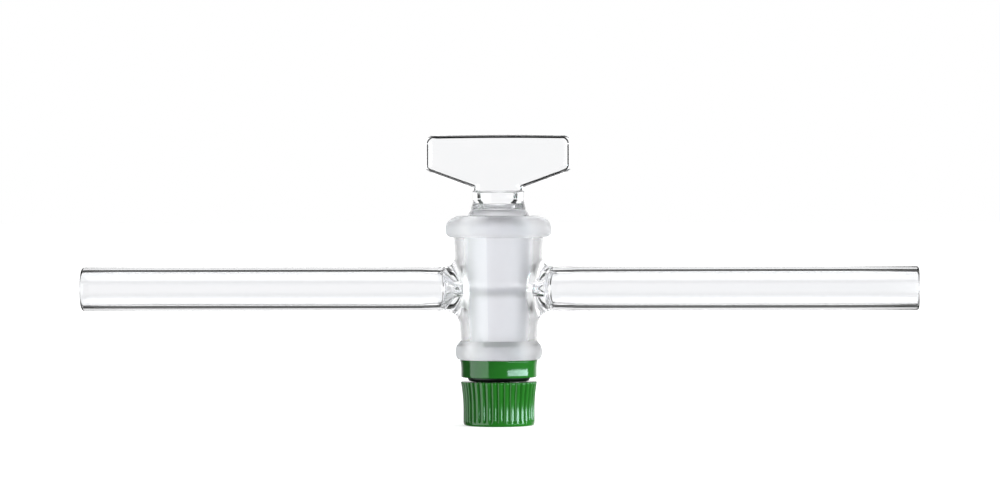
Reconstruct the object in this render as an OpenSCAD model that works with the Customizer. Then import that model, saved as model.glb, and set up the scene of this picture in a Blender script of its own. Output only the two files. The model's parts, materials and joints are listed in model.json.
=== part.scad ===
// Straight-bore glass stopcock.
// A ground glass key with a flat handle turns in a tapered glass barrel that has two side arms.
// A ring nut on the key's tail, an O-ring and a slip washer hold the key in the barrel.
// Z is the key's axis, X runs along the side arms, and the foot of the nut stands at Z = 0.
// The screw thread on the tail and in the nut is drawn as its mean cylinder.

/* [Side arms] */
// Outside diameter of the arm tubing
arm_d = 9; // [7.4:0.1:11]
// Wall thickness of the arm tubing
arm_wall = 1.1; // [0.8:0.1:1.4]
// Distance from the key's axis to the open end of each arm
arm_reach = 85.8; // [50:0.2:120]
// Radius of the fire-polished rim at each open end
rim_round = 0.4; // [0.2:0.05:0.4]
// How far the glass of the weld flares out where an arm meets the barrel
weld_flare = 2.8; // [1.5:0.1:3.4]

/* [Barrel] */
// Length of the barrel from its foot to its mouth
barrel_len = 29.4; // [24:0.1:36]
// Diameter of the ground socket at the mouth
socket_d = 14.5; // [12:0.1:18]
// Change of diameter for each unit of length in the ground joint
joint_taper = 0.1; // [0.05:0.01:0.12]
// Height of the arms' axis above the barrel's foot
arm_rise = 14.5; // [12.5:0.1:16.5]
// Wall thickness just under the collar
wall_top = 2.15; // [1.6:0.05:3]
// Wall thickness just above the foot bead
wall_low = 1.8; // [1.5:0.05:3]
// How far the collar at the mouth stands proud of the wall
collar_proud = 1.65; // [1:0.05:2.5]
// Height of the collar
collar_h = 4.3; // [3:0.1:6]
// How far the bead at the foot stands proud of the wall
bead_proud = 1.05; // [0.6:0.05:2]
// Height of the bead
bead_h = 3.6; // [2.5:0.1:5]

/* [Key] */
// Diameter of the bore through the key and of the holes in the barrel's wall
bore_d = 2.5; // [1.5:0.1:4]
// Radial running gap between the key and the socket
joint_gap = 0.04; // [0.02:0.01:0.08]
// How far the ground cone reaches below the barrel
cone_below = 0.8; // [0.4:0.1:1]
// Diameter of the neck under the handle
neck_d = 10.4; // [8:0.1:11]
// Height of the neck from the barrel's mouth to the handle
neck_h = 5.7; // [4:0.1:9]
// Width of the handle
handle_w = 29.8; // [22:0.2:40]
// Height of the handle
handle_h = 10.9; // [8:0.1:15]
// Rise of the handle's slanted lower edges
handle_rise = 3.5; // [2:0.1:5]
// Thickness of the handle
handle_t = 4.4; // [3:0.1:6]
// Bevel round the edge of the handle
handle_bevel = 0.9; // [0.5:0.1:1.4]

/* [Tail thread] */
// Crest diameter of the glass thread on the key's tail
thread_d = 9.4; // [7.8:0.1:10.4]
// Depth of the thread
thread_depth = 0.6; // [0.4:0.05:0.8]
// Radial gap between the two mean cylinders of the thread
thread_gap = 0.08; // [0.04:0.01:0.1]
// How far the flat on the tail is cut in from the thread's crest
flat_depth = 1; // [0.8:0.1:1.6]
// Gap round the tail in the washer
tail_gap = 0.1; // [0.05:0.01:0.2]

/* [Nut, O-ring and washer] */
// Height of the ring nut
nut_h = 9; // [7:0.1:12]
// Wall of the nut at its waist, outside the thread's crest
nut_wall = 2.6; // [1.8:0.1:4]
// How far the nut's upper edge flares out from the waist
nut_flare = 0.5; // [0.3:0.05:1]
// Number of grip ribs round the nut
rib_count = 36; // [24:1:44]
// How far the grip ribs stand out
rib_depth = 0.35; // [0.2:0.05:0.5]
// Share of the nut's girth that the ribs take up
rib_share = 0.6; // [0.4:0.05:0.7]
// Visible gap between the nut and the washer
ring_space = 0.9; // [0.5:0.1:1.1]
// Thickness of the O-ring's cord
cord_d = 1.6; // [1.4:0.1:2]
// Height of the slip washer
washer_h = 3.6; // [3:0.1:5]
// How far the washer stands out past the key's small end
washer_wall = 2.15; // [1.6:0.05:3]
// Gap round the O-ring in the washer's seat and on the nut
seat_gap = 0.05; // [0.02:0.01:0.1]

/* [Hidden] */
$fn = 96;

// Levels up the key's axis
washer_z = nut_h + ring_space;
barrel_z = washer_z + washer_h;
mouth_z = barrel_z + barrel_len;
arm_z = barrel_z + arm_rise;
key_low_z = barrel_z - cone_below;
ring_z = nut_h + seat_gap + cord_d / 2;
tail_low_z = 0.8;
handle_z = mouth_z + neck_h;

// Radii that the fits share
crest_r = thread_d / 2;
tail_r = crest_r - thread_depth / 2;
flat_y = crest_r - flat_depth;
pass_r = crest_r + tail_gap;
cord_r = cord_d / 2;
ring_mid_r = pass_r + cord_r;
seat_r = ring_mid_r + cord_r + seat_gap;
seat_depth = cord_d + 2 * seat_gap - ring_space;
waist_r = crest_r + nut_wall;
arm_r = arm_d / 2;
arm_bore_r = arm_r - arm_wall;
bore_r = bore_d / 2;

// Radius of the socket, and of the barrel's outside, at height z
wall_low_z = barrel_z + bead_h;
wall_top_z = mouth_z - collar_h;
function socket_r(z) = socket_d / 2 - (mouth_z - z) * joint_taper / 2;
wall_low_r = socket_r(wall_low_z) + wall_low;
wall_top_r = socket_r(wall_top_z) + wall_top;
function outside_r(z) =
    wall_low_r + (wall_top_r - wall_low_r) * (z - wall_low_z) / (wall_top_z - wall_low_z);

// Points of an elliptical arc about [x, y], from angle a0 to angle a1 in n steps
function arc(x, y, rx, ry, a0, a1, n = 6) =
    [for (i = [0:n]) let (a = a0 + (a1 - a0) * i / n) [x + rx * cos(a), y + ry * sin(a)]];

// A profile of [radius, height] points turned about Z
module turned(points) {
    rotate_extrude() polygon(points);
}

// The same profile turned about the arms' axis, with its height running along +X or -X
module turned_arms(points) {
    for (side = [90, 270])
        translate([0, 0, arm_z]) rotate([90, 0, side]) turned(points);
}

// ---- Barrel -------------------------------------------------------------------------------

arm_wall_x = outside_r(arm_z);
weld_x = arm_wall_x + weld_flare;

// Outside of the barrel, with its foot bead and the collar at its mouth
module barrel_blank() {
    bead_mid_z = barrel_z + 0.6 * bead_h;
    collar_low_h = 0.45 * collar_h;
    collar_mid_z = wall_top_z + collar_low_h;
    collar_round = 0.5 * collar_h;
    collar_r = wall_top_r + collar_proud;
    turned(concat(
        [[0, barrel_z]],
        arc(wall_low_r, bead_mid_z, bead_proud, bead_mid_z - barrel_z, -90, 0),
        arc(wall_low_r, bead_mid_z, bead_proud, wall_low_z - bead_mid_z, 15, 75, 4),
        [[wall_low_r, wall_low_z]],
        [[wall_top_r, wall_top_z]],
        arc(wall_top_r, collar_mid_z, collar_proud, collar_low_h, -75, 0, 5),
        arc(collar_r - collar_round, mouth_z - collar_round, collar_round, collar_round, 0, 90),
        [[0, mouth_z]]));
}

// Ground socket with a rounded mouth
module socket_space() {
    lip = 0.6;
    turned(concat(
        [[0, barrel_z - 1], [socket_r(barrel_z - 1), barrel_z - 1]],
        [[socket_r(mouth_z - lip), mouth_z - lip]],
        arc(socket_r(mouth_z) + lip, mouth_z - lip, lip, lip, 150, 90, 3),
        [[socket_r(mouth_z) + lip, mouth_z + 1], [0, mouth_z + 1]]));
}

// Outside of the arms: the weld's flare, the tubing and the fire-polished end
module arm_blanks() {
    flare_x = arm_wall_x - 2.4;
    turned_arms(concat(
        [[0, 0], [arm_r + weld_flare, 0]],
        arc(arm_r + weld_flare, weld_x, weld_flare, weld_x - flare_x, 270, 180, 8),
        arc(arm_r - rim_round, arm_reach - rim_round, rim_round, rim_round, 0, 90, 4),
        [[0, arm_reach]]));
}

// Bores of the arms: the funnel at the weld, the tubing and its rounded rim
module arm_bores() {
    turned_arms(concat(
        [[0, 0], [bore_r, 0], [bore_r, arm_wall_x + 0.1]],
        [[0.7 * arm_bore_r, weld_x - 0.5]],
        [[arm_bore_r, weld_x + 0.6]],
        arc(arm_bore_r + rim_round, arm_reach - rim_round, rim_round, rim_round, 180, 90, 4),
        [[arm_bore_r + rim_round, arm_reach + 1], [0, arm_reach + 1]]));
}

module barrel() {
    color([0.90, 0.93, 0.95, 0.4])
    difference() {
        union() {
            barrel_blank();
            arm_blanks();
        }
        socket_space();
        arm_bores();
    }
}

// ---- Key ----------------------------------------------------------------------------------

// Ground cone, shoulder, neck and tail
module key_blank() {
    shoulder_h = 1.2;
    shoulder_z = mouth_z - shoulder_h;
    shoulder_r = socket_r(shoulder_z) - joint_gap;
    neck_r = neck_d / 2;
    foot_r = neck_r + 0.9;
    waist_z = mouth_z + 0.6 * neck_h;
    neck_round = 2;
    tip_round = 0.7;
    turned(concat(
        [[0, tail_low_z]],
        arc(tail_r - tip_round, tail_low_z + tip_round, tip_round, tip_round, -90, 0, 3),
        [[tail_r, key_low_z], [socket_r(key_low_z) - joint_gap, key_low_z]],
        arc(foot_r, shoulder_z, shoulder_r - foot_r, shoulder_h, 0, 90, 4),
        arc(neck_r + 0.5, waist_z, 0.5, waist_z - mouth_z - 1, 240, 180, 4),
        arc(neck_r - neck_round, handle_z - neck_round / 2, neck_round, neck_round, 0, 90, 4),
        [[0, handle_z + neck_round / 2]]));
}

// Outline of the handle, drawn in XY and drawn in by inset all round
module handle_outline(inset) {
    half = handle_w / 2 - inset;
    foot_half = neck_d / 2 + 0.4 - 0.3 * inset;
    low = handle_z + inset;
    heel = handle_z + handle_rise + inset;
    top = handle_z + handle_h - inset;
    corner = 1.2;
    polygon(concat(
        [[-foot_half, low], [foot_half, low], [half - 0.5, heel - 0.2], [half, heel + 0.5]],
        arc(half - corner, top - corner, corner, corner, 0, 90, 4),
        arc(corner - half, top - corner, corner, corner, 90, 180, 4),
        [[-half, heel + 0.5], [0.5 - half, heel - 0.2]]));
}

// Flat handle with a bevel round both faces
module handle() {
    rotate([90, 0, 0]) hull() {
        linear_extrude(handle_t, center = true) handle_outline(handle_bevel);
        linear_extrude(handle_t - 2 * handle_bevel, center = true) handle_outline(0);
    }
}

module key() {
    color([0.88, 0.91, 0.94, 0.45])
    difference() {
        union() {
            key_blank();
            handle();
        }
        translate([-socket_d, 0, arm_z]) rotate([0, 90, 0]) cylinder(r = bore_r, h = 2 * socket_d);
        translate([-crest_r, -crest_r - 1, 0]) cube([2 * crest_r, crest_r + 1 - flat_y, key_low_z]);
    }
}

// ---- Slip washer, O-ring and ring nut -----------------------------------------------------

// Washer with a D-shaped hole that fits the flat on the tail, a cup above for the key's small
// end and a seat below for the O-ring
module slip_washer() {
    cup_r = socket_r(barrel_z) + 0.35;
    cup_z = key_low_z - 0.5;
    low_r = cup_r + washer_wall - 0.55;
    top_r = cup_r + washer_wall - 0.35;
    edge = 0.2;
    color([0.13, 0.45, 0.16])
    difference() {
        turned([
            [0, washer_z + seat_depth], [seat_r, washer_z + seat_depth], [seat_r, washer_z],
            [low_r - edge, washer_z], [low_r, washer_z + edge], [top_r, barrel_z - edge],
            [top_r - edge, barrel_z], [cup_r, barrel_z], [cup_r, cup_z], [0, cup_z]]);
        difference() {
            translate([0, 0, washer_z]) cylinder(r = pass_r, h = washer_h);
            translate([-pass_r, -2 * pass_r - flat_y + tail_gap / 2, washer_z])
                cube([2 * pass_r, 2 * pass_r - tail_gap, washer_h]);
        }
    }
}

module o_ring() {
    color([0.04, 0.04, 0.04])
    translate([0, 0, ring_z]) rotate_extrude() translate([ring_mid_r, 0]) circle(r = cord_r);
}

// Outside radius of the nut at height z: straight up to the bend, then curving out to the edge
nut_bend_z = 0.35 * nut_h;
function nut_r(z) =
    waist_r + nut_flare * pow(max(0, z - nut_bend_z) / (nut_h - nut_bend_z), 2);

// The nut's body turned with its side at depth below the tops of the ribs
module nut_turned(depth) {
    foot = 0.5;
    bore = tail_r + thread_gap;
    turned(concat(
        [[bore, 0], [waist_r - depth - foot, 0]],
        [[waist_r - depth, foot], [waist_r - depth, nut_bend_z]],
        [for (i = [1:4]) let (z = nut_bend_z + (nut_h - nut_bend_z) * i / 4) [nut_r(z) - depth, z]],
        [[bore, nut_h]]));
}

// Plan of the grip ribs: a toothed ring whose gaps reach inside the nut's wall
module rib_plan() {
    out_r = waist_r + nut_flare + 1;
    in_r = waist_r - 2 * rib_depth;
    step = 360 / rib_count;
    half = step * rib_share / 2;
    polygon([for (i = [0:rib_count - 1], p = [[in_r, -half], [out_r, -half], [out_r, half], [in_r, half]])
        [p[0] * cos(i * step + p[1]), p[0] * sin(i * step + p[1])]]);
}

module ring_nut() {
    rim_h = 0.8;
    color([0.12, 0.48, 0.15])
    union() {
        nut_turned(rib_depth);
        intersection() {
            nut_turned(0);
            union() {
                translate([0, 0, rim_h]) linear_extrude(nut_h) rib_plan();
                cylinder(r = waist_r + 1, h = rim_h);
            }
        }
    }
}

barrel();
key();
slip_washer();
o_ring();
ring_nut();
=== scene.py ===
# %% [markdown]
# # A glass stopcock
# A stopcock is a tap made of glass. A ground cone, the key, turns in a ground socket, the barrel,
# and opens or closes a narrow passage between two glass arms. A washer, a rubber ring and a nut on
# the key's tail keep the joint tight. This lesson makes the glass, the plastic and the rubber as
# meshes around an engineering model that is already packed, and lights them as glass is lit in a
# studio: white behind, black at the edges. The packed model is the frame that everything fits.
#
# The frame is loaded first.

# %% Load the frame
import json
from math import asin, ceil, cos, exp, hypot, pi, radians, sin, sqrt

import bmesh
import bpy
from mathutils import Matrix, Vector

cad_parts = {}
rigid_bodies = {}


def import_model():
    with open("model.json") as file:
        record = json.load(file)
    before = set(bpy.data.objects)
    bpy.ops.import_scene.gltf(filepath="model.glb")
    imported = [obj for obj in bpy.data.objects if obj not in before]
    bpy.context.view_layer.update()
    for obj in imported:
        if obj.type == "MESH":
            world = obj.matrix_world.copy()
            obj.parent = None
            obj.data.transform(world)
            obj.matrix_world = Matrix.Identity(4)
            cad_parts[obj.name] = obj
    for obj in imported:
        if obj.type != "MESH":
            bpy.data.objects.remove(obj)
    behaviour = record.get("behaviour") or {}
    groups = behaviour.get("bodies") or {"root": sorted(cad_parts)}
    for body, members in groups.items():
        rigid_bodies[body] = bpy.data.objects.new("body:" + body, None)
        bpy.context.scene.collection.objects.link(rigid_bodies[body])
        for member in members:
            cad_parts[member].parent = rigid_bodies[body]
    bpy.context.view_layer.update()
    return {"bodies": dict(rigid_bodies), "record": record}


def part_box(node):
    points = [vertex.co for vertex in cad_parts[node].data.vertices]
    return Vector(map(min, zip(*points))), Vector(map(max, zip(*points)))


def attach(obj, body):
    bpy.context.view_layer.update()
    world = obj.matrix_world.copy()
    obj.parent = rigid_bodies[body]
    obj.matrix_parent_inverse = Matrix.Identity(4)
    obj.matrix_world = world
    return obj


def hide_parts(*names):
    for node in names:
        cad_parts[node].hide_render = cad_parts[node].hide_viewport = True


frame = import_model()

# %% [markdown]
# Glass parts are drawn in millimetres, because that is how their sizes are known, and each mesh is
# scaled to metres once, when it is made. The main levels and radii come from the packed model, so
# that the shapes follow it: the barrel's foot and mouth, the arms' axis, the key's ends.

# %% Levels and radii from the frame, in millimetres
MM = 0.001


def box_in_mm(node):
    low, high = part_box(node)
    return low / MM, high / MM


barrel_low, barrel_high = box_in_mm("barrel")
key_low, key_high = box_in_mm("key")
washer_low, washer_high = box_in_mm("slip_washer")
ring_low, ring_high = box_in_mm("o_ring")
nut_high = box_in_mm("ring_nut")[1]
mounts = {mount["name"]: mount for mount in frame["record"]["mounts"]}

foot_z, mouth_z = barrel_low.z, barrel_high.z
collar_r = barrel_high.y
arm_reach = barrel_high.x
arm_z = mounts["arm_right_outside"]["pos_m"][2] / MM
arm_r = mounts["arm_right_outside"]["dims"]["r_mm"]
arm_bore_r = mounts["arm_right_bore"]["dims"]["r_mm"]
print("barrel from", round(foot_z, 2), "to", round(mouth_z, 2), "mm, arms at", round(arm_z, 2))

# %% [markdown]
# Every piece here is a closed skin of rings: loops of points laid one after another, with a band of
# four-sided faces between each two. It could be made with the Screw modifier or with booleans, but
# a stopcock's glass flows from a round barrel into a round arm at right angles, and booleans leave
# a hard edge there. Rings let the glass flow. Each band remembers its finish: 0 for the first
# material of the piece, 1 for the second, 2 for the third.

# %% The skin of rings
class Skin:
    def __init__(self):
        self.points = []
        self.faces = []
        self.finishes = []

    def ring(self, points):
        first = len(self.points)
        self.points.extend(points)
        return list(range(first, len(self.points)))

    def band(self, one, other, finish=0):
        for i in range(len(one)):
            j = (i + 1) % len(one)
            self.faces.append((one[i], one[j], other[j], other[i]))
            self.finishes.append(finish)

    def bands(self, rings, finish=0):
        """Bands between rings of points, one after another. Gives the last ring's indices."""
        last = rings[0] if isinstance(rings[0][0], int) else self.ring(rings[0])
        for points in rings[1:]:
            following = points if isinstance(points[0], int) else self.ring(points)
            self.band(last, following, finish)
            last = following
        return last


print("a skin keeps", ", ".join(vars(Skin())))

# %% [markdown]
# A finished skin becomes a mesh object. Points that fell on each other are merged, the faces are
# turned outwards, and shading is smooth except over sharp edges. The object then rides on its body,
# and replaces the packed solid of its node, which is hidden.

# %% A piece from a skin
MERGE_MM = 0.0005
CREASE = radians(38)


def make_piece(name, skin, materials, body, nodes):
    """A smooth-shaded mesh object from a skin in millimetres, riding on its body."""
    mesh = bpy.data.meshes.new(name)
    mesh.from_pydata([Vector(point) * MM for point in skin.points], [], skin.faces)
    for material in materials:
        mesh.materials.append(material)
    mesh.polygons.foreach_set("material_index", skin.finishes)
    shape = bmesh.new()
    shape.from_mesh(mesh)
    bmesh.ops.remove_doubles(shape, verts=shape.verts, dist=MERGE_MM * MM)
    bmesh.ops.dissolve_degenerate(shape, edges=shape.edges, dist=MERGE_MM * MM / 10)
    bmesh.ops.recalc_face_normals(shape, faces=shape.faces)
    open_edges = sum(not edge.is_manifold for edge in shape.edges)
    volume = shape.calc_volume() / MM**3
    shape.to_mesh(mesh)
    shape.free()
    mesh.shade_smooth()
    mesh.set_sharp_from_angle(angle=CREASE)
    piece = bpy.data.objects.new(name, mesh)
    bpy.context.scene.collection.objects.link(piece)
    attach(piece, body)
    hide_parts(*nodes)
    print(name, len(mesh.polygons), "faces,", round(volume), "mm3,", open_edges, "open edges")
    return piece


print("points within", MERGE_MM, "mm of each other are merged")

# %% [markdown]
# Colours are written as the sRGB hex values that a painter would mix, and one function turns them
# to the linear values that Cycles works in. One more function adds a node to a material: it takes
# the node's kind, what goes into its sockets, and its own settings.

# %% Colour and node helpers
def linear(hex_colour):
    shares = [int(hex_colour[i:i + 2], 16) / 255 for i in (0, 2, 4)]
    return [s / 12.92 if s <= 0.04045 else ((s + 0.055) / 1.055) ** 2.4 for s in shares] + [1]


def add_node(tree, kind, inputs=None, **settings):
    node = tree.nodes.new(kind)
    for name, value in settings.items():
        setattr(node, name, value)
    for socket, value in (inputs or {}).items():
        if isinstance(value, bpy.types.NodeSocket):
            tree.links.new(value, node.inputs[socket])
        else:
            node.inputs[socket].default_value = value
    return node


def new_material(name):
    material = bpy.data.materials.new(name)
    material.use_nodes = True
    material.node_tree.nodes.clear()
    return material, material.node_tree


def colours_between(tree, value, stops):
    """A colour ramp fed by value, with a list of (position, hex colour) stops."""
    ramp = add_node(tree, "ShaderNodeValToRGB", {"Fac": value})
    while len(ramp.color_ramp.elements) < len(stops):
        ramp.color_ramp.elements.new(0.5)
    for element, (position, hex_colour) in zip(ramp.color_ramp.elements, stops):
        element.position = position
        element.color = linear(hex_colour)
    return ramp.outputs["Color"]


print("mid grey 808080 is", round(linear("808080")[0], 3), "in linear light")

# %% [markdown]
# ## Borosilicate glass, drawn, pressed and tooled
# The barrel and the handle are borosilicate 3.3, the glass of laboratory ware. Melted surfaces are
# smoother than any polish, so their roughness is nil, and the index of refraction is 1.473. What
# tells them from a perfect solid is how they were made: drawn tube has long, very faint waves along
# its length, and pressed glass has soft, wide ones all over. The waves are a bump of a few
# micrometres at most. Collar and bead are rolled to shape with a graphite tool, which leaves a
# soft satin. The colour is a trace off white, as iron in the sand leaves it.

# %% Clear glass
BOROSILICATE_IOR = 1.473


def clear_glass(name, stops, wave_mm, height_mm, stretch=1, roughness=0.0):
    """Glass with waves of a width and height, stretched along the arms by a factor."""
    material, tree = new_material(name)
    place = add_node(tree, "ShaderNodeTexCoord").outputs["Object"]
    scale = (1 / (wave_mm * MM * stretch), 1 / (wave_mm * MM), 1 / (wave_mm * MM))
    spread = add_node(tree, "ShaderNodeMapping", {"Vector": place, "Scale": scale})
    waves = add_node(tree, "ShaderNodeTexNoise",
                     {"Vector": spread.outputs["Vector"], "Scale": 1.0, "Detail": 1.0})
    bump = add_node(tree, "ShaderNodeBump",
                    {"Height": waves.outputs["Fac"], "Distance": height_mm * MM,
                     "Strength": 1.0})
    glass = add_node(tree, "ShaderNodeBsdfPrincipled",
                     {"Base Color": colours_between(tree, waves.outputs["Fac"], stops),
                      "Roughness": roughness, "IOR": BOROSILICATE_IOR, "Transmission Weight": 1.0,
                      "Normal": bump.outputs["Normal"]})
    add_node(tree, "ShaderNodeOutputMaterial", {"Surface": glass.outputs["BSDF"]})
    return material


drawn_glass = clear_glass("borosilicate_drawn", [(0.3, "FAFBFC"), (0.7, "FDFDFE")],
                          wave_mm=3.0, height_mm=0.0006, stretch=30)
pressed_glass = clear_glass("borosilicate_pressed", [(0.3, "F9FAFB"), (0.7, "FCFCFD")],
                            wave_mm=5.0, height_mm=0.003)
tooled_glass = clear_glass("borosilicate_tooled", [(0.3, "FBFBFE"), (0.7, "FEFEFF")],
                           wave_mm=2.0, height_mm=0.002, roughness=0.5)
print("clear glass of index", BOROSILICATE_IOR)

# %% [markdown]
# ## Ground glass
# The cone and its socket are ground together with carborundum grit and water. That leaves a finely
# pitted, milky surface: light still passes, but it is scattered over a wide cone, so the roughness
# is high while the glass stays clear in depth. The pits of a 220 grit are 0.06 mm wide, too fine to
# show, so they are drawn 0.35 mm wide here, with the faint rings that the turning left.

# %% Ground glass
GRAIN_MM, GRAIN_HEIGHT_MM = 0.35, 0.02
TURNING_MM, TURNING_LENGTH_MM = 0.5, 50
TURNING_SHARE = 0.35
GROUND_ROUGHNESS = 0.36


def ground_glass(name):
    material, tree = new_material(name)
    place = add_node(tree, "ShaderNodeTexCoord").outputs["Object"]
    grain = add_node(tree, "ShaderNodeTexNoise",
                     {"Vector": place, "Scale": 1 / (GRAIN_MM * MM), "Detail": 3.0})
    along, across = 1 / (TURNING_LENGTH_MM * MM), 1 / (TURNING_MM * MM)
    rings_place = add_node(tree, "ShaderNodeMapping",
                           {"Vector": place, "Scale": (along, along, across)})
    rings = add_node(tree, "ShaderNodeTexNoise",
                     {"Vector": rings_place.outputs["Vector"], "Scale": 1.0, "Detail": 2.0})
    both = add_node(tree, "ShaderNodeMix",
                    {"Factor": TURNING_SHARE, "A": grain.outputs["Fac"], "B": rings.outputs["Fac"]})
    bump = add_node(tree, "ShaderNodeBump",
                    {"Height": both.outputs["Result"], "Distance": GRAIN_HEIGHT_MM * MM,
                     "Strength": 1.0})
    colour = colours_between(tree, both.outputs["Result"],
                             [(0.3, "F8F9FD"), (0.55, "FCFCFE"), (0.75, "FEFEFF")])
    glass = add_node(tree, "ShaderNodeBsdfPrincipled",
                     {"Base Color": colour, "Roughness": GROUND_ROUGHNESS, "IOR": BOROSILICATE_IOR,
                      "Transmission Weight": 1.0, "Normal": bump.outputs["Normal"]})
    add_node(tree, "ShaderNodeOutputMaterial", {"Surface": glass.outputs["BSDF"]})
    return material


socket_ground = ground_glass("borosilicate_ground_socket")
cone_ground = ground_glass("borosilicate_ground_cone")
print("ground glass with", len(socket_ground.node_tree.nodes), "nodes")

# %% [markdown]
# ## Green polypropylene, injection-moulded
# The washer and the nut are polypropylene, coloured in the melt. It is moulded in a polished steel
# tool, so it is glossy, with a little orange peel where the skin froze, and the colour runs very
# slightly darker and lighter where the melt flowed.

# %% Moulded polypropylene
POLYPROPYLENE_IOR = 1.49
MOULDED_ROUGHNESS = 0.12
PEEL_MM, PEEL_HEIGHT_MM = 0.8, 0.004
FLOW_MM = 5


def moulded_polypropylene(name, stops):
    material, tree = new_material(name)
    place = add_node(tree, "ShaderNodeTexCoord").outputs["Object"]
    flow = add_node(tree, "ShaderNodeTexNoise",
                    {"Vector": place, "Scale": 1 / (FLOW_MM * MM), "Detail": 2.0})
    peel = add_node(tree, "ShaderNodeTexNoise",
                    {"Vector": place, "Scale": 1 / (PEEL_MM * MM), "Detail": 1.0})
    bump = add_node(tree, "ShaderNodeBump",
                    {"Height": peel.outputs["Fac"], "Distance": PEEL_HEIGHT_MM * MM,
                     "Strength": 1.0})
    plastic = add_node(tree, "ShaderNodeBsdfPrincipled",
                       {"Base Color": colours_between(tree, flow.outputs["Fac"], stops),
                        "Roughness": MOULDED_ROUGHNESS, "IOR": POLYPROPYLENE_IOR,
                        "Normal": bump.outputs["Normal"]})
    add_node(tree, "ShaderNodeOutputMaterial", {"Surface": plastic.outputs["BSDF"]})
    return material


nut_green = moulded_polypropylene("polypropylene_nut", [(0.3, "227820"), (0.7, "288225")])
washer_green = moulded_polypropylene("polypropylene_washer", [(0.3, "227422"), (0.7, "267C26")])
print("two greens:", nut_green.name, "and", washer_green.name)

# %% [markdown]
# ## Black elastomer
# The O-ring is a moulded elastomer, filled with carbon black. It is nearly black, half matt, and
# has the fine grain that the mould's spark-eroded cavity gives it. That grain is about 0.03 mm wide,
# too fine to show, so it is drawn 0.15 mm wide.

# %% Moulded elastomer
ELASTOMER_IOR = 1.52
ELASTOMER_ROUGHNESS = 0.45
CAVITY_GRAIN_MM, CAVITY_HEIGHT_MM = 0.15, 0.01


def moulded_elastomer(name):
    material, tree = new_material(name)
    place = add_node(tree, "ShaderNodeTexCoord").outputs["Object"]
    grain = add_node(tree, "ShaderNodeTexNoise",
                     {"Vector": place, "Scale": 1 / (CAVITY_GRAIN_MM * MM), "Detail": 3.0})
    bump = add_node(tree, "ShaderNodeBump",
                    {"Height": grain.outputs["Fac"], "Distance": CAVITY_HEIGHT_MM * MM,
                     "Strength": 1.0})
    colour = colours_between(tree, grain.outputs["Fac"], [(0.35, "0B0B0C"), (0.7, "151516")])
    rubber = add_node(tree, "ShaderNodeBsdfPrincipled",
                      {"Base Color": colour, "Roughness": ELASTOMER_ROUGHNESS,
                       "IOR": ELASTOMER_IOR, "Normal": bump.outputs["Normal"]})
    add_node(tree, "ShaderNodeOutputMaterial", {"Surface": rubber.outputs["BSDF"]})
    return material


ring_black = moulded_elastomer("elastomer_o_ring")
print("black:", ring_black.name)

# %% [markdown]
# ## The ground joint
# Key and barrel share one cone: its diameter grows by 1 mm for every 10 mm of height, up to the
# standard 14.5 mm at the mouth. The key is a hair smaller, as the grease between them needs. The
# outside of the barrel is a cone as well, between the bead at its foot and the collar at its mouth.

# %% Radii of the cone at a height
SOCKET_D = 14.5
TAPER = 0.1
JOINT_GAP = 0.04
PASSAGE_R = 1.25
BEAD_H, COLLAR_H = 3.6, 4.3
WALL_LOW, WALL_TOP = 1.8, 2.15


def socket_r(z):
    return SOCKET_D / 2 - (mouth_z - z) * TAPER / 2


def cone_r(z):
    return socket_r(z) - JOINT_GAP


def barrel_r(z):
    low_z, top_z = foot_z + BEAD_H, mouth_z - COLLAR_H
    low_r, top_r = socket_r(low_z) + WALL_LOW, socket_r(top_z) + WALL_TOP
    return low_r + (top_r - low_r) * (z - low_z) / (top_z - low_z)


print("wall of the barrel at the arms:", round(barrel_r(arm_z) - socket_r(arm_z), 2), "mm")

# %% [markdown]
# ## Windows in a wall
# Where an arm or the passage opens in a round wall, the rings of the wall can't run on. Half of the
# wall's band becomes a window: its rings start as the frame of the window, which the two halves
# share, and shrink to the edge of the hole. All of them lie in the wall. The same count of points
# then runs on into the arm, so the whole barrel is one skin with no seam.

# %% Windows
ROUND = 128
ROWS = 24
BAND_HALF = 8.6
BAND = (arm_z - BAND_HALF, arm_z + BAND_HALF)
CROWDING = 1.4


def window_frame(i):
    """Turn and share of the height of the i-th point on the frame of a half-turn wide window."""
    quarter = ROUND // 4
    if i <= quarter:
        return pi / 2 * i / quarter, 0
    if i <= quarter + ROWS:
        return pi / 2, (i - quarter) / ROWS
    if i <= 3 * quarter + ROWS:
        return pi / 2 - pi * (i - quarter - ROWS) / (2 * quarter), 1
    if i <= 3 * quarter + 2 * ROWS:
        return -pi / 2, 1 - (i - 3 * quarter - ROWS) / ROWS
    return pi / 2 * (i - 3 * quarter - 2 * ROWS) / quarter - pi / 2, 0


WINDOW = ROUND + 2 * ROWS
WINDOW_ANGLES = [2 * pi * i / WINDOW - pi / 2 for i in range(WINDOW)]


def window_rings(wall, hole, side, steps):
    """Rings in a wall from the frame of its window to the hole, whose radius depends on angle.

    They crowd together towards the hole, where the wall bends into the arm.
    """
    rings = []
    for step in range(steps + 1):
        share = (1 - step / steps) ** CROWDING
        ring = []
        for i, a in enumerate(WINDOW_ANGLES):
            turn, up = window_frame(i)
            hole_z = arm_z + hole(a) * sin(a)
            hole_turn = asin(hole(a) * cos(a) / wall(hole_z))
            u = hole_turn + (turn - hole_turn) * share
            z = hole_z + (BAND[0] + (BAND[1] - BAND[0]) * up - hole_z) * share
            ring.append((side * wall(z) * cos(u), side * wall(z) * sin(u), z))
        rings.append(ring)
    return rings


def arm_ring(x, r, side):
    return [(side * x, side * r * cos(a), arm_z + r * sin(a)) for a in WINDOW_ANGLES]


def wall_ring(r, z):
    return [(r * cos(2 * pi * k / ROUND), r * sin(2 * pi * k / ROUND), z) for k in range(ROUND)]


print(WINDOW, "points round each window")

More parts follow.
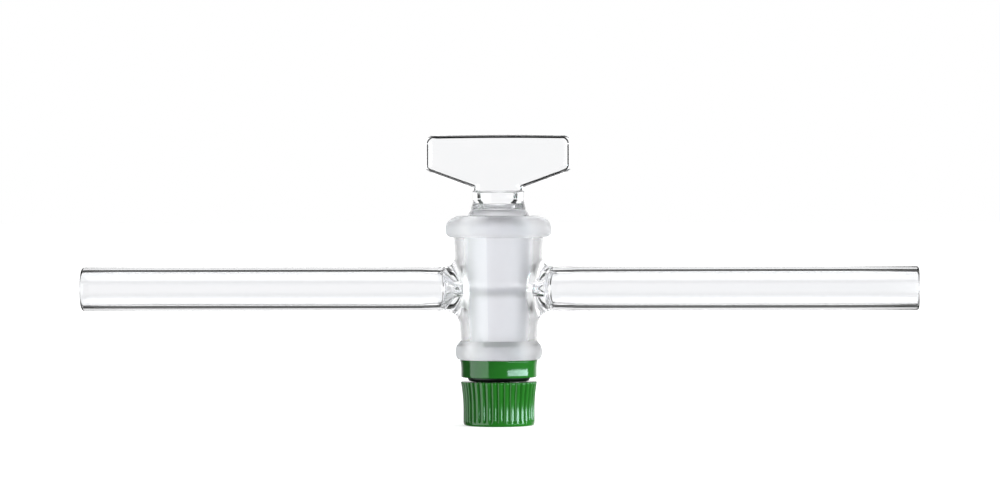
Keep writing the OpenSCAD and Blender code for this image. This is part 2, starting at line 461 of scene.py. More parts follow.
# %% [markdown]
# ## The arms
# Each arm is a drawn tube that the glass blower melted on to the barrel. The melted glass flared
# out where it met the wall, and thickened, so the bore narrows there and ends in a funnel. The
# flare is a curve for each point of the ring, a Bezier curve that leaves along the wall and
# arrives along the tube. The open end is fire-polished: the flame rounded the cut edge.

# %% Flare of an arm
WELD_END = barrel_r(arm_z) + 2.6
FLARE, FLARE_TALLER, FLARE_SAG = 2.0, 0.5, 0.5
FLARE_END_SWELL = 0.08
PULL_ALONG_WALL, PULL_ALONG_TUBE = 0.45, 0.4


def flare_hole(a):
    """Edge of the melted glass on the wall: it ran a little further down than up."""
    return arm_r + FLARE + FLARE_TALLER * abs(sin(a)) + FLARE_SAG * max(0, -sin(a))


def flare_rings(wall_rings, side, steps=12):
    edge, before = wall_rings[-1], wall_rings[-2]
    end = arm_ring(WELD_END, arm_r + FLARE_END_SWELL, side)
    rings = []
    for step in range(1, steps):
        t = step / steps
        ring = []
        for inner, outer, last in zip(edge, before, end):
            start, finish = Vector(inner), Vector(last)
            along_wall = (start - Vector(outer)).normalized()
            reach = (finish - start).length
            first = start + along_wall * PULL_ALONG_WALL * reach
            second = finish - Vector((side * PULL_ALONG_TUBE * reach, 0, 0))
            ring.append(start * (1 - t)**3 + first * 3 * t * (1 - t)**2
                        + second * 3 * t * t * (1 - t) + finish * t**3)
        rings.append(ring)
    return rings + [end]


print("the flare ends", round(WELD_END, 2), "mm from the barrel's axis")

# %% [markdown]
# The tube's own stretch follows: the outside with the slight swelling of the melted part, the round
# rim, and the bore, which is 0.2 mm narrower where the glass was hot, and ends in the funnel.

# %% Tube, rim and funnel of an arm
FUSED_END = WELD_END + 4.3
RIM_R = (arm_r - arm_bore_r) / 2
TUBE_STATIONS = [(x, 0.0) for x in (30, 50, 70)]
HOT_NARROWING = 0.2
CONE_DEPTH, DOME_DEPTH = 2.5, 1.7
PASSAGE_LIP = 0.1
PASSAGE_START = WELD_END - 3.2


def outside_rings(side):
    stations = [(WELD_END + 0.35, 0.0), (WELD_END + 1.6, 0.04), (FUSED_END - 1, 0.03),
                (FUSED_END, 0.0)] + TUBE_STATIONS + [(arm_reach - RIM_R, 0.0)]
    return [arm_ring(x, arm_r + more, side) for x, more in stations]


def rim_rings(side, steps=8):
    angles = [pi / 2 - pi * step / steps for step in range(1, steps)]
    middle = arm_r - RIM_R
    return [arm_ring(arm_reach - RIM_R + RIM_R * cos(a), middle + RIM_R * sin(a), side)
            for a in angles]


def bore_rings(side):
    narrowing = [(FUSED_END + 0.4, 0.0), (FUSED_END - 0.6, -0.1), (WELD_END + 1.8, -0.19),
                 (WELD_END + 0.2, -HOT_NARROWING)]
    stations = [(arm_reach - RIM_R, 0.0)] + TUBE_STATIONS[::-1] + narrowing
    return [arm_ring(x, arm_bore_r + more, side) for x, more in stations]


def funnel_rings(side, steps=10):
    """The left bore ends in a cone, the right one in a dome, as the blower's tools left them."""
    start_r, end_r = arm_bore_r - HOT_NARROWING, PASSAGE_R + PASSAGE_LIP
    rings = []
    for step in range(1, steps + 1):
        t = step / steps
        if side < 0:
            x = WELD_END - CONE_DEPTH * t
            r = start_r + (end_r - start_r) * t
        else:
            x = WELD_END - 0.2 - DOME_DEPTH * sin(t * pi / 2)
            r = end_r + (start_r - end_r) * cos(t * pi / 2)
        rings.append(arm_ring(x, r, side))
    return rings + [arm_ring(PASSAGE_START, PASSAGE_R, side)]


print("tube of", 2 * arm_r, "mm with a bore of", round(2 * arm_bore_r, 2), "mm")

# %% [markdown]
# ## The barrel
# The barrel's outline is turned: a bead at its foot, a long cone, and a rounded collar at its
# mouth. Bead and collar are superellipses, which are fuller than a circle, as glass that was rolled
# on a graphite tool is, and they have that tool's satin. The socket inside, the lip and the foot
# face are ground. Everything else is clear.

# %% Outline of the barrel
BEAD_PROUD, BEAD_MIDDLE, BEAD_TOP = 1.1, 1.9, 3.9
COLLAR_FOOT, COLLAR_LOW, COLLAR_TOP = 4.4, 3.1, 2.3
COLLAR_ROUND = 2.9


def superellipse(start, end, power, steps):
    """Points that leave start upright and arrive at end level, as (radius, height)."""
    points = []
    for step in range(steps + 1):
        a = pi / 2 * step / steps
        points.append((end[0] + (start[0] - end[0]) * cos(a) ** (2 / power),
                       start[1] + (end[1] - start[1]) * sin(a) ** (2 / power)))
    return points


def curve_through(points, steps):
    """A smooth curve through (radius, height) points, level with neither end."""
    ends = [points[0]] + points + [points[-1]]
    curve = []
    for k in range(1, len(ends) - 2):
        p0, p1, p2, p3 = (Vector(p) for p in ends[k - 1:k + 3])
        for step in range(steps):
            t = step / steps
            curve.append(0.5 * (2 * p1 + (p2 - p0) * t + (2 * p0 - 5 * p1 + 4 * p2 - p3) * t * t
                                + (3 * p1 - p0 - 3 * p2 + p3) * t**3))
    return [tuple(point) for point in curve] + [points[-1]]


def foot_outline():
    bead_r = barrel_r(foot_z + BEAD_H) + BEAD_PROUD
    bead_z = foot_z + BEAD_MIDDLE
    wall_z = foot_z + BEAD_TOP
    low = superellipse((bead_r, bead_z), (bead_r - 1.0, foot_z), 2.6, 10)
    high = curve_through([(bead_r, bead_z), (bead_r - 0.2, bead_z + 0.85),
                          (bead_r - 0.62, bead_z + 1.45), (barrel_r(wall_z), wall_z)], 5)
    return low[::-1] + high[1:]


def collar_outline():
    wall_z = mouth_z - COLLAR_FOOT
    under = superellipse((collar_r, mouth_z - COLLAR_LOW), (barrel_r(wall_z), wall_z), 2.3, 10)
    over = superellipse((collar_r, mouth_z - COLLAR_TOP), (collar_r - COLLAR_ROUND, mouth_z), 1.7, 12)
    return under[::-1] + over


wall_d = 2 * barrel_r(mouth_z - COLLAR_FOOT)
print("collar of", round(2 * collar_r, 2), "mm on a wall of", round(wall_d, 2), "mm")

# %% [markdown]
# The skin starts at the foot face, goes up the outside to the lip and down into the socket. The
# band at the arms' height is made of two windows, one for each arm, each with its flare, tube,
# rim, bore and funnel, back to the window in the socket.

# %% Make the barrel
SOCKET_ROUND = 0.25


def barrel():
    skin = Skin()
    foot_face = skin.ring(wall_ring(socket_r(foot_z) + SOCKET_ROUND, foot_z))
    outline = [wall_ring(r, z) for r, z in foot_outline()]
    last = skin.bands([foot_face, outline[0]], finish=1)
    last = skin.bands([last] + outline[1:], finish=2)
    skin.bands([last, wall_ring(barrel_r(BAND[0]), BAND[0])])
    collar = [wall_ring(r, z) for r, z in collar_outline()]
    last = skin.bands([wall_ring(barrel_r(BAND[1]), BAND[1]), collar[0]])
    last = skin.bands([last] + collar[1:], finish=2)
    lip = [last, wall_ring(socket_r(mouth_z) + 0.15, mouth_z - 0.02)]
    socket_top = [wall_ring(socket_r(z), z) for z in (mouth_z - 0.2, mouth_z - 3, BAND[1])]
    skin.bands(lip + socket_top, finish=1)
    socket_low = [wall_ring(socket_r(z), z) for z in (BAND[0], foot_z + SOCKET_ROUND)]
    skin.bands(socket_low + [foot_face], finish=1)
    for side in (1, -1):
        wall = window_rings(barrel_r, flare_hole, side, 14)
        ends = skin.bands(wall + flare_rings(wall, side) + outside_rings(side) + rim_rings(side)
                          + bore_rings(side) + funnel_rings(side))
        socket_window = window_rings(socket_r, lambda a: PASSAGE_R, side, 12)[::-1]
        inner = [skin.ring(ring) for ring in socket_window]
        skin.band(ends, inner[0])
        skin.bands(inner, finish=1)
    return make_piece("barrel_glass", skin, [drawn_glass, socket_ground, tooled_glass], "barrel",
                      ["barrel"])


barrel()

# %% [markdown]
# ## The key
# The key was pressed and then ground: a flat handle like a paddle, a short neck, the ground cone
# with the passage through it, and a tail with a thread. The handle is drawn by slices from below
# upwards. In each slice the thickness at a point depends on how far it is from the handle's
# outline, so the edge is rounded evenly all the way round.

# %% Outline of the handle
HANDLE_HALF = key_high.x
HANDLE_TOP = key_high.z
STEM_HALF = 5.25
HEEL_Z = HANDLE_TOP - 7.3
STEM_Z = mouth_z + 5.8
CROWN = 0.15
CORNER_R, HEEL_R = 1.6, 0.7


def rounded_min(a, b, radius):
    if a >= radius or b >= radius:
        return min(a, b)
    return radius - hypot(radius - a, radius - b)


def inside_handle(x, z):
    """Distance in from the handle's outline: less than 0 outside it."""
    crown = CROWN * (x / HANDLE_HALF) ** 2
    corner = rounded_min(HANDLE_TOP - crown - z, HANDLE_HALF - abs(x), CORNER_R)
    run, rise = HANDLE_HALF - STEM_HALF, HEEL_Z - STEM_Z
    slant = ((z - STEM_Z) * run - (abs(x) - STEM_HALF) * rise) / hypot(run, rise)
    paddle = rounded_min(corner, slant, HEEL_R)
    stem = min(STEM_HALF - abs(x), HEEL_Z + 1 - z)
    return max(paddle, stem)


def half_width(z):
    """Half the handle's width at a height, found by halving the interval that it lies in."""
    low, high = 0.0, HANDLE_HALF + 1
    for _ in range(40):
        middle = (low + high) / 2
        low, high = (middle, high) if inside_handle(middle, z) > 0 else (low, middle)
    return low


print("handle of", round(2 * HANDLE_HALF, 1), "mm, half at the heel", round(half_width(HEEL_Z), 2))

# %% [markdown]
# The neck is a round stem that narrows a little upwards and ends in a short shoulder inside the
# handle. Its outline is a curve through a few measured points. The groove between neck and cone is
# where the grinding wheel stopped. Where stem and handle meet, the thickness is the fourth root of
# the sum of both thicknesses' fourth powers: the larger of the two, with a smooth joint.

# %% Neck and handle slices
NECK_TOP = mouth_z + 3.4
NECK_R = 5.2
SHOULDER = (mouth_z + 4.75, mouth_z + 5.15)
HANDLE_T = 2.2
EDGE = 2.0
EDGE_RESERVE = 0.2
HEEL_FILLET = 0.8
JOINT_POWER = 4


def neck_outline():
    m = mouth_z
    below = curve_through([(cone_r(m - 0.7), m - 0.7), (cone_r(m - 0.7) - 0.25, m - 0.35),
                           (6.35, m + 0.1), (5.95, m + 0.7), (5.62, m + 1.3)], 5)
    above = curve_through([(5.62, m + 1.5), (5.5, m + 1.95), (5.27, m + 2.7),
                           (NECK_R, NECK_TOP)], 5)
    return below, above


def slice_ring(z):
    """A slice of handle and neck at height z: the thickness is a smooth joint of the two."""
    over = min(1, max(0, (z - SHOULDER[0]) / (SHOULDER[1] - SHOULDER[0])))
    left = sqrt(1 - over * over)
    fade = min(1, z - NECK_TOP)
    reach = max(half_width(z), NECK_R * left)
    ring = []
    for k in range(ROUND):
        a = 2 * pi * k / ROUND
        x = reach * cos(a)
        depth = min(1, max(0, inside_handle(x, z)) / EDGE)
        plate = HANDLE_T * fade * sqrt(1 - (1 - depth) ** 2)
        stem = sqrt(max(0, NECK_R**2 - x * x)) * left
        y = (plate**JOINT_POWER + stem**JOINT_POWER) ** (1 / JOINT_POWER)
        ring.append((x, y if 0 < k < ROUND / 2 else -y if k > ROUND / 2 else 0.0, z))
    return ring


def handle_levels():
    """Heights of the slices: close together where the outline or the edge bends."""
    heel_top = HEEL_Z + HEEL_FILLET
    edge_low = HANDLE_TOP - EDGE - EDGE_RESERVE
    stem = [NECK_TOP + (STEM_Z - NECK_TOP) * s / 12 for s in range(1, 13)]
    heel = [STEM_Z + (heel_top - STEM_Z) * s / 18 for s in range(1, 19)]
    sides = [heel_top + (edge_low - heel_top) * s / 8 for s in range(1, 9)]
    edge = [HANDLE_TOP - (HANDLE_TOP - edge_low) * (1 - sin(pi / 2 * s / 26)) for s in range(1, 27)]
    shoulder = [SHOULDER[0] + (SHOULDER[1] - SHOULDER[0]) * sin(pi / 2 * s / 8) for s in range(9)]
    return sorted(stem + heel + sides + edge + shoulder)


print(len(handle_levels()), "slices in the handle")

# %% [markdown]
# The tail's thread is round-crested, as a glass thread is moulded, and right-handed: its crest
# climbs by one pitch in each turn. One side of the tail is flat, which keys the washer to it. The
# same thread, a little larger, is the inside of the nut.

# %% Thread
PITCH = 2.0
ROOT_R, CREST_R = 4.1, 4.7
MEAN_R = (ROOT_R + CREST_R) / 2
FULLNESS = 0.65
THREAD_GAP = 0.08
FLAT_Y = 3.7
THREAD_STEP = PITCH / 14


def thread_r(turn, z, share=1.0):
    """Radius of the thread: share fades it to its mean. Crest and root are fuller than a wave's."""
    wave = cos(2 * pi * z / PITCH - turn)
    return MEAN_R + share * (CREST_R - MEAN_R) * wave / sqrt(1 - FULLNESS + FULLNESS * wave * wave)


def thread_ring(z, count, share, gap=0.0, flat=None, cap=CREST_R + 1):
    """A ring of the thread. No point of it is further out than the cap, as on a chamfer."""
    ring = []
    for k in range(count):
        turn = 2 * pi * k / count
        r = min(cap, thread_r(turn, z, share) + gap)
        y = r * sin(turn)
        ring.append((r * cos(turn), y if flat is None else max(y, -flat), z))
    return ring


print("thread of", 2 * CREST_R, "mm and", PITCH, "mm pitch")

# %% [markdown]
# The key's skin starts at the tip of the tail. The tip is round, the first turn is chamfered so
# that the nut finds it, and the last turn fades out above the nut. Both windows for the passage
# stand in the ground cone, and a tube of faces joins them through the key.

# %% Make the key
TIP_H = 0.7
CHAMFER_SLOPE = 0.8
THREAD_FADE = 0.8
CONE_BELOW = 0.8
CONE_CHAMFER = 0.3
GROOVE_R = 5.5


def flat_ring(r, z):
    return [(x, max(y, -FLAT_Y), z) for x, y, _ in wall_ring(r, z)]


def tail_rings(cone_low):
    tip_top, thread_top = key_low.z + TIP_H, nut_high.z + 0.6
    rings = [[(0, 0, key_low.z)] * ROUND]
    for step in range(6):
        a = pi / 2 * step / 5
        rings.append(flat_ring(ROOT_R - TIP_H + TIP_H * sin(a), tip_top - TIP_H * cos(a)))
    for s in range(1, ceil((thread_top - tip_top) / THREAD_STEP)):
        z = tip_top + THREAD_STEP * s
        share = min(1, (thread_top - z) / THREAD_FADE)
        chamfer_r = ROOT_R + CHAMFER_SLOPE * (z - tip_top)
        rings.append(thread_ring(z, ROUND, share, flat=FLAT_Y, cap=chamfer_r))
    return rings + [flat_ring(MEAN_R, thread_top), flat_ring(MEAN_R, cone_low)]


def key():
    skin = Skin()
    cone_low = foot_z - CONE_BELOW
    last = skin.bands(tail_rings(cone_low))
    cone = [wall_ring(cone_r(cone_low) - CONE_CHAMFER, cone_low),
            wall_ring(cone_r(cone_low), cone_low + CONE_CHAMFER),
            wall_ring(cone_r(BAND[0]), BAND[0])]
    skin.bands([last] + cone, finish=1)
    below, above = neck_outline()
    ground_top = wall_ring(cone_r(BAND[1]), BAND[1])
    last = skin.bands([ground_top, wall_ring(*below[0])], finish=1)
    last = skin.bands([last] + [wall_ring(r, z) for r, z in below[1:]])
    groove = wall_ring(GROOVE_R, mouth_z + 1.4)
    last = skin.bands([last, groove] + [wall_ring(r, z) for r, z in above])
    skin.bands([last] + [slice_ring(z) for z in handle_levels()])
    holes = []
    for side in (1, -1):
        rings = [skin.ring(r) for r in window_rings(cone_r, lambda a: PASSAGE_R, side, 12)]
        skin.bands(rings, finish=1)
        holes.append(rings[-1])
    skin.band(holes[0], [holes[1][-i % WINDOW] for i in range(WINDOW)], finish=1)
    return make_piece("key_glass", skin, [pressed_glass, cone_ground], "key", ["key"])


key()

# %% [markdown]
# ## The ring nut
# The nut is moulded with 36 grip ribs: broad, gently crowned lands with narrow grooves between
# them, which run out above the foot. Its side is straight below and flares out to its upper edge.

# %% Side and ribs of the nut
RIBS = 36
PER_RIB = 12
NUT_ROUND = RIBS * PER_RIB
NUT_TOP = nut_high.z
NUT_TOP_R = nut_high.x
NUT_WAIST_R = NUT_TOP_R - 0.5
NUT_BEND = 0.35 * NUT_TOP
LAND_CROWN, GROOVE = 0.05, 0.36
LAND_SHARE = 0.58


def nut_side_r(z):
    up = max(0, z - NUT_BEND) / (NUT_TOP - NUT_BEND)
    return NUT_WAIST_R + (NUT_TOP_R - NUT_WAIST_R) * up**2


def rib_dip(k):
    """How far the side dips at point k: a crowned land, then a round-bottomed groove."""
    off = abs((k / PER_RIB) % 1 - 0.5) * 2
    if off < LAND_SHARE:
        return LAND_CROWN * (off / LAND_SHARE) ** 2
    into = sin(pi / 2 * (off - LAND_SHARE) / (1 - LAND_SHARE))
    return LAND_CROWN + (GROOVE - LAND_CROWN) * into**1.3


def nut_ring(z, share, inset=0.0):
    ring = []
    for k in range(NUT_ROUND):
        a = 2 * pi * k / NUT_ROUND
        r = nut_side_r(z) - inset - rib_dip(k) * share
        ring.append((r * cos(a), r * sin(a), z))
    return ring


def plain_ring(r, z, count):
    return [(r * cos(2 * pi * k / count), r * sin(2 * pi * k / count), z) for k in range(count)]


print(RIBS, "ribs of", round(2 * pi * NUT_TOP_R / RIBS, 2), "mm")

# %% [markdown]
# The nut's skin starts at the hole in its foot, goes up the side, over the upper edge and down the
# thread. The foot's edge is a quarter of an ellipse, and the grooves run out in five short steps.

# %% Make the nut
FOOT_ROUND_H, FOOT_ROUND_R = 0.55, 0.5
RUN_OUT = ((0.65, 0.05), (0.8, 0.25), (0.95, 0.6), (1.1, 0.88), (1.3, 1))
EDGE_H = 0.12
THREAD_CHAMFER = 0.4


def nut_outside():
    rings = [plain_ring(CREST_R + 0.5, 0, NUT_ROUND), plain_ring(NUT_WAIST_R - 0.8, 0, NUT_ROUND)]
    for step in range(7):
        a = pi / 2 * step / 6
        rings.append(nut_ring(FOOT_ROUND_H * (1 - cos(a)), 0, FOOT_ROUND_R * (1 - sin(a))))
    rings += [nut_ring(z, share) for z, share in RUN_OUT]
    full_z, steps = RUN_OUT[-1][0], 16
    for s in range(1, steps + 1):
        rings.append(nut_ring(full_z + (NUT_TOP - EDGE_H - full_z) * s / steps, 1))
    rings += [nut_ring(NUT_TOP - 0.03, 1, 0.04), nut_ring(NUT_TOP, 1, 0.14)]
    return rings + [plain_ring(NUT_WAIST_R - 0.9, NUT_TOP, NUT_ROUND),
                    plain_ring(CREST_R + THREAD_CHAMFER, NUT_TOP, NUT_ROUND)]


def ring_nut():
    skin = Skin()
    outside = nut_outside()
    first = skin.ring(outside[0])
    last = skin.bands([first] + outside[1:])
    length = NUT_TOP - 2 * THREAD_CHAMFER
    count = int(length / THREAD_STEP)
    for s in range(count + 1):
        z = NUT_TOP - THREAD_CHAMFER - length * s / count
        last = skin.bands([last, thread_ring(z, NUT_ROUND, 1.0, THREAD_GAP)])
    skin.bands([last, first])
    return make_piece("ring_nut_green", skin, [nut_green], "ring_nut", ["ring_nut"])


ring_nut()

# %% [markdown]
# ## The washer and the O-ring
# The washer is a smooth collar, straight below and flaring above like the nut. Its hole is round
# with one flat side, which fits the tail, a cup above takes the end of the cone, and a recess below
# takes the O-ring. The O-ring is a torus, with the fine line that the two halves of its mould left.

# %% Make the washer
WASHER_ROUND = 192
SEAT_GAP = 0.05
WASHER_EDGE = 0.2
WASHER_BEND = 0.45


def washer_ring(r, z):
    return plain_ring(r, z, WASHER_ROUND)


def d_ring(r, z):
    return [(x, max(y, -FLAT_Y - SEAT_GAP), z) for x, y, _ in washer_ring(r, z)]


def washer_outline(low_r, top_r, seat_r, cup_r, cup_z):
    """From the recess for the O-ring outwards, up the side and down into the cup."""
    low_z, top_z, steps = washer_low.z, washer_high.z, 10
    outline = [(seat_r + 0.05, low_z), (low_r - WASHER_EDGE, low_z), (low_r - 0.06, low_z + 0.05)]
    for s in range(steps + 1):
        up = s / steps
        flare = (top_r - low_r) * (max(0, up - WASHER_BEND) / (1 - WASHER_BEND)) ** 2
        height = top_z - 2 * WASHER_EDGE - low_z
        outline.append((low_r + flare, low_z + WASHER_EDGE + height * up))
    return outline + [(top_r - 0.06, top_z - 0.05), (top_r - WASHER_EDGE, top_z),
                      (cup_r + 0.1, top_z), (cup_r, top_z - 0.1), (cup_r, cup_z)]


def slip_washer():
    top_r, low_r = washer_high.x, washer_high.x - 0.2
    cup_r, cup_z = socket_r(foot_z) + 0.35, foot_z - 1.3
    seat_r, seat_z = ring_high.x + SEAT_GAP, ring_high.z + SEAT_GAP
    hole_r = CREST_R + 0.1
    outline = washer_outline(low_r, top_r, seat_r, cup_r, cup_z)
    skin = Skin()
    first = skin.ring(washer_ring(*outline[0]))
    last = skin.bands([first] + [washer_ring(r, z) for r, z in outline[1:]])
    last = skin.bands([last, d_ring(hole_r, cup_z), d_ring(hole_r, seat_z)])
    skin.bands([last, washer_ring(seat_r, seat_z), washer_ring(seat_r, washer_low.z + 0.05), first])
    return make_piece("slip_washer_green", skin, [washer_green], "key", ["slip_washer"])


slip_washer()

# %% Make the O-ring
CORD_POINTS, RING_POINTS = 40, 160
FLASH, FLASH_WIDTH = 0.012, 0.08


def o_ring():
    cord_r = (ring_high.z - ring_low.z) / 2
    middle_r, middle_z = ring_high.x - cord_r, (ring_high.z + ring_low.z) / 2
    skin = Skin()
    rings = []
    for s in range(CORD_POINTS):
        a = 2 * pi * s / CORD_POINTS
        r = cord_r - FLASH + FLASH * exp(-(sin(a) / FLASH_WIDTH) ** 2)
        place = middle_r + r * cos(a), middle_z + r * sin(a)
        rings.append(skin.ring(plain_ring(*place, RING_POINTS)))
    skin.bands(rings + [rings[0]])
    return make_piece("o_ring_black", skin, [ring_black], "o_ring", ["o_ring"])


o_ring()

# %% [markdown]
# ## Floor
# The stopcock stands on a plain pale floor. The floor goes with the nut: when the nut is screwed
# down the tail, it still stands on the floor, so the floor rides on the body that slides with it.
# It glows a little, as a light table does, so that it comes out white. Only the camera sees it:
# light through glass, reflections and matt surfaces meet the studio instead, and it throws no
# shadow, because the low softbox stands beneath its level.

# %% Floor
FLOOR_SIZE = 6.0
FLOOR_GLOW = 0.55


def floor_material():
    material, tree = new_material("pale_floor")
    place = add_node(tree, "ShaderNodeTexCoord").outputs["Object"]
    cloud = add_node(tree, "ShaderNodeTexNoise", {"Vector": place, "Scale": 3.0})
    colour = colours_between(tree, cloud.outputs["Fac"], [(0.3, "F4F4F5"), (0.7, "F8F8F9")])
    paint = add_node(tree, "ShaderNodeBsdfPrincipled",
                     {"Base Color": colour, "Roughness": 0.9, "Specular IOR Level": 0.0,
                      "Emission Color": (1, 1, 1, 1), "Emission Strength": FLOOR_GLOW})
    add_node(tree, "ShaderNodeOutputMaterial", {"Surface": paint.outputs["BSDF"]})
    return material


def lay_floor():
    mesh = bpy.data.meshes.new("floor")
    h = FLOOR_SIZE / 2
    mesh.from_pydata([(-h, -h, 0), (h, -h, 0), (h, h, 0), (-h, h, 0)], [], [(0, 1, 2, 3)])
    mesh.materials.append(floor_material())
    plane = bpy.data.objects.new("floor", mesh)
    bpy.context.scene.collection.objects.link(plane)
    plane.visible_transmission = False
    plane.visible_glossy = False
    plane.visible_shadow = False
    plane.visible_diffuse = False
    plane.parent = frame["bodies"]["o_ring"]
    return plane


lay_floor()
print("floor of", FLOOR_SIZE, "m")

# %% [markdown]
# ## Studio light
# Clear glass shows only what is around it. On white, it needs something dark to draw its edges:
# the glass bends light most at its edges, so they show what is far above and far below. The world
# here is a light tent, and it shows a different side of itself to each kind of light. Light that
# came through glass sees white straight behind, which grows brighter to the sides and glows at the
# front left, and black in two wide belts, high and low. Mirror reflections see a dim room with a
# bright back wall, so that the green plastic keeps its colour. Matt surfaces see white cloth that
# is bright on the right and dark on the left. The camera sees plain white.

# %% Belts of the tent and the room
def belt(tree, height, stops):
    """A grey level by the height of a direction, from straight down, 0, to straight up, 1."""
    share = add_node(tree, "ShaderNodeMapRange",
                     {"Value": height, "From Min": -1.0, "From Max": 1.0})
    ramp = add_node(tree, "ShaderNodeValToRGB", {"Fac": share.outputs["Result"]})
    while len(ramp.color_ramp.elements) < len(stops):
        ramp.color_ramp.elements.new(0.5)
    for element, (degrees, level) in zip(ramp.color_ramp.elements, stops):
        element.position = (sin(radians(degrees)) + 1) / 2
        element.color = (level, level, level, 1)
    return ramp.outputs["Color"]


# The levels stand at heights in degrees above the horizon.
SURROUND = [(-90, 1.5), (-62, 1.5), (-57, 0.1), (-37, 0.1), (-33, 1.05), (-8, 1.0), (8, 1.0),
            (26, 1.05), (29, 0.1), (52, 0.1), (57, 1.5), (90, 1.5)]
ROOM = [(-90, 0.2), (-50, 0.2), (-30, 0.9), (0, 1.0), (35, 1.0), (50, 0.25), (90, 0.5)]
FRONT_ROOM = 0.10
TENT_RIGHT = 1.7
TENT_LEFT = 0.05
SIDE_GAIN = 1.65
LEFT_GLOW = 2.5
print(len(SURROUND), "levels in the tent and", len(ROOM), "in the room")


# %% World
def light_world():
    world = bpy.data.worlds.new("light_tent")
    bpy.context.scene.world = world
    world.use_nodes = True
    world.cycles.sampling_method = "NONE"
    tree = world.node_tree
    tree.nodes.clear()
    direction = add_node(tree, "ShaderNodeTexCoord").outputs["Generated"]
    parts = add_node(tree, "ShaderNodeSeparateXYZ", {"Vector": direction})
    away = add_node(tree, "ShaderNodeMath", {0: parts.outputs["Y"]}, operation="ABSOLUTE")
    gain = add_node(tree, "ShaderNodeMapRange",
                    {"Value": away.outputs["Value"], "From Min": 0.9, "From Max": 0.4,
                     "To Min": 1.0, "To Max": SIDE_GAIN})
    left = add_node(tree, "ShaderNodeMapRange",
                    {"Value": parts.outputs["X"], "From Min": -0.3, "From Max": -0.6,
                     "To Min": 0.0, "To Max": LEFT_GLOW})
    front = add_node(tree, "ShaderNodeMapRange",
                     {"Value": parts.outputs["Y"], "From Min": -0.1, "From Max": -0.25})
    glow = add_node(tree, "ShaderNodeMath", {0: left.outputs["Result"], 1: front.outputs["Result"],
                                             2: gain.outputs["Result"]}, operation="MULTIPLY_ADD")
    surround = add_node(tree, "ShaderNodeBackground",
                        {"Color": belt(tree, parts.outputs["Z"], SURROUND),
                         "Strength": glow.outputs["Value"]})
    back = add_node(tree, "ShaderNodeMapRange",
                    {"Value": parts.outputs["Y"], "From Min": 0.7, "From Max": 0.9,
                     "To Min": FRONT_ROOM, "To Max": 1.0})
    room = add_node(tree, "ShaderNodeBackground",
                    {"Color": belt(tree, parts.outputs["Z"], ROOM),
                     "Strength": back.outputs["Result"]})
    side = add_node(tree, "ShaderNodeMapRange",
                    {"Value": parts.outputs["X"], "From Min": -0.9, "From Max": 1.0,
                     "To Min": TENT_LEFT, "To Max": TENT_RIGHT})
    tent = add_node(tree, "ShaderNodeBackground",
                    {"Color": (1, 1, 1, 1), "Strength": side.outputs["Result"]})
    white = add_node(tree, "ShaderNodeBackground", {"Color": (1, 1, 1, 1), "Strength": 1.0})
    path = add_node(tree, "ShaderNodeLightPath")
    seen = room
    for flag, other in (("Is Diffuse Ray", tent), ("Is Transmission Ray", surround),
                        ("Is Camera Ray", white)):
        seen = add_node(tree, "ShaderNodeMixShader",
                        {0: path.outputs[flag], 1: seen.outputs[0], 2: other.outputs[0]})
    add_node(tree, "ShaderNodeOutputWorld", {"Surface": seen.outputs[0]})
    return world


world = light_world()
print("world of", len(world.node_tree.nodes), "nodes")

# %% [markdown]
# Two softboxes stand in front. The large one on the left is dim and leaves the long soft streak on
# the barrel. The low one on the right is long and bright, and leaves the short hard glints on the
# green plastic. Both show only as reflections: the camera, light that came through glass and matt
# surfaces don't see them. Both are tinted a little towards cyan.

# %% Softboxes
def softbox(name, bearing, distance, centre_z, width, height, radiance, tint):
    """A flat light at a bearing from the front, in degrees to the right, facing the axis."""
    data = bpy.data.lights.new(name, "AREA")
    data.shape = "RECTANGLE"
    data.size, data.size_y = width, height
    data.energy = radiance * pi * width * height
    data.color = tint
    lamp = bpy.data.objects.new(name, data)
    bpy.context.scene.collection.objects.link(lamp)
    turn = radians(bearing)
    lamp.location = (distance * sin(turn), -distance * cos(turn), centre_z)
    towards = Vector((0, 0, centre_z)) - lamp.location
    lamp.rotation_euler = towards.to_track_quat("-Z", "Y").to_euler()
    lamp.visible_camera = False
    lamp.visible_transmission = False
    lamp.visible_diffuse = False
    return lamp


softbox("softbox_left", bearing=-62, distance=1.0, centre_z=0.0, width=1.3, height=1.2,
        radiance=2.7, tint=(0.88, 1.0, 0.96))
softbox("softbox_right", bearing=66, distance=3.0, centre_z=-0.145, width=4.4, height=0.11,
        radiance=21.0, tint=(0.74, 0.96, 1.0))
print(len(bpy.data.lights), "softboxes")

# %% [markdown]
# A black ring stands behind the glass, wider than the camera's view. It puts the dark wedges in
# the neck and draws the handle's upright edges and corners, which bend light sideways and would
# find no dark belt there. It is open at the barrel's height, so that the barrel's sides stay light.
# Only light that came through glass sees it.

# %% Black ring
RING_DISTANCE, RING_Z = 1.0, 0.06
RING_INNER_R, RING_OUTER_R = 0.54, 0.82


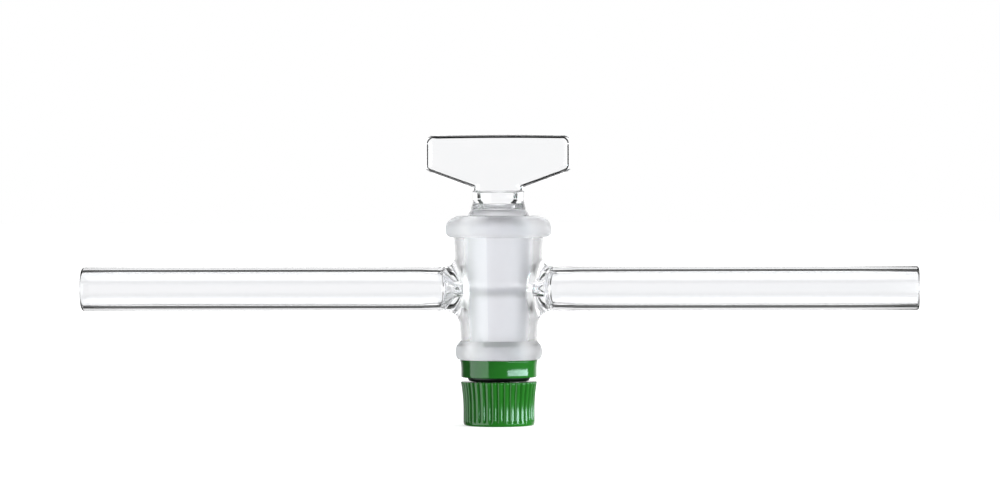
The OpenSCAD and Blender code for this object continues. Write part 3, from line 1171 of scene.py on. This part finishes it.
def black_arc(name, start, end, steps=32):
    """Part of a flat ring, from one angle to another in degrees, seen from the front."""
    material, tree = new_material(name)
    black = add_node(tree, "ShaderNodeEmission", {"Color": (0, 0, 0, 1), "Strength": 0.0})
    add_node(tree, "ShaderNodeOutputMaterial", {"Surface": black.outputs[0]})
    points = []
    for step in range(steps + 1):
        a = radians(start + (end - start) * step / steps)
        points += [(r * cos(a), RING_DISTANCE, RING_Z + r * sin(a))
                   for r in (RING_INNER_R, RING_OUTER_R)]
    faces = [(2 * s, 2 * s + 1, 2 * s + 3, 2 * s + 2) for s in range(steps)]
    mesh = bpy.data.meshes.new(name)
    mesh.from_pydata(points, [], faces)
    mesh.materials.append(material)
    arc = bpy.data.objects.new(name, mesh)
    bpy.context.scene.collection.objects.link(arc)
    arc.visible_camera = False
    arc.visible_glossy = False
    arc.visible_diffuse = False
    arc.visible_shadow = False
    return arc


arcs = [black_arc("black_arc_high", -2.2, 182.2), black_arc("black_arc_low", -171, -9)]
print(len(arcs), "arcs of", 2 * RING_OUTER_R, "m")

# %% [markdown]
# ## Camera
# The camera stands a little above the arms and a little to the right, with a long lens, as for a
# catalogue. The standard view transform keeps the white of the paper white.

# %% Camera and film
VIEW_DISTANCE = 1.0
VIEW_TURN = radians(3.15)
CAMERA_Z = 0.055
AIM = Vector((0.0003, 0, 0.0357))
FRAME_WIDTH = 0.2046
ROLL = radians(-0.17)


def set_camera():
    data = bpy.data.cameras.new("camera")
    camera = bpy.data.objects.new("camera", data)
    bpy.context.scene.collection.objects.link(camera)
    camera.location = (VIEW_DISTANCE * sin(VIEW_TURN), -VIEW_DISTANCE * cos(VIEW_TURN), CAMERA_Z)
    data.lens = data.sensor_width * (AIM - camera.location).length / FRAME_WIDTH
    camera.rotation_euler = (AIM - camera.location).to_track_quat("-Z", "Y").to_euler()
    camera.rotation_euler.rotate_axis("Z", ROLL)
    bpy.context.scene.camera = camera
    return camera


camera = set_camera()
scene = bpy.context.scene
scene.view_settings.view_transform = "Standard"
scene.cycles.max_bounces = 24
scene.cycles.transmission_bounces = 24
scene.cycles.glossy_bounces = 8
print("lens of", round(camera.data.lens, 1), "mm")

# %% [markdown]
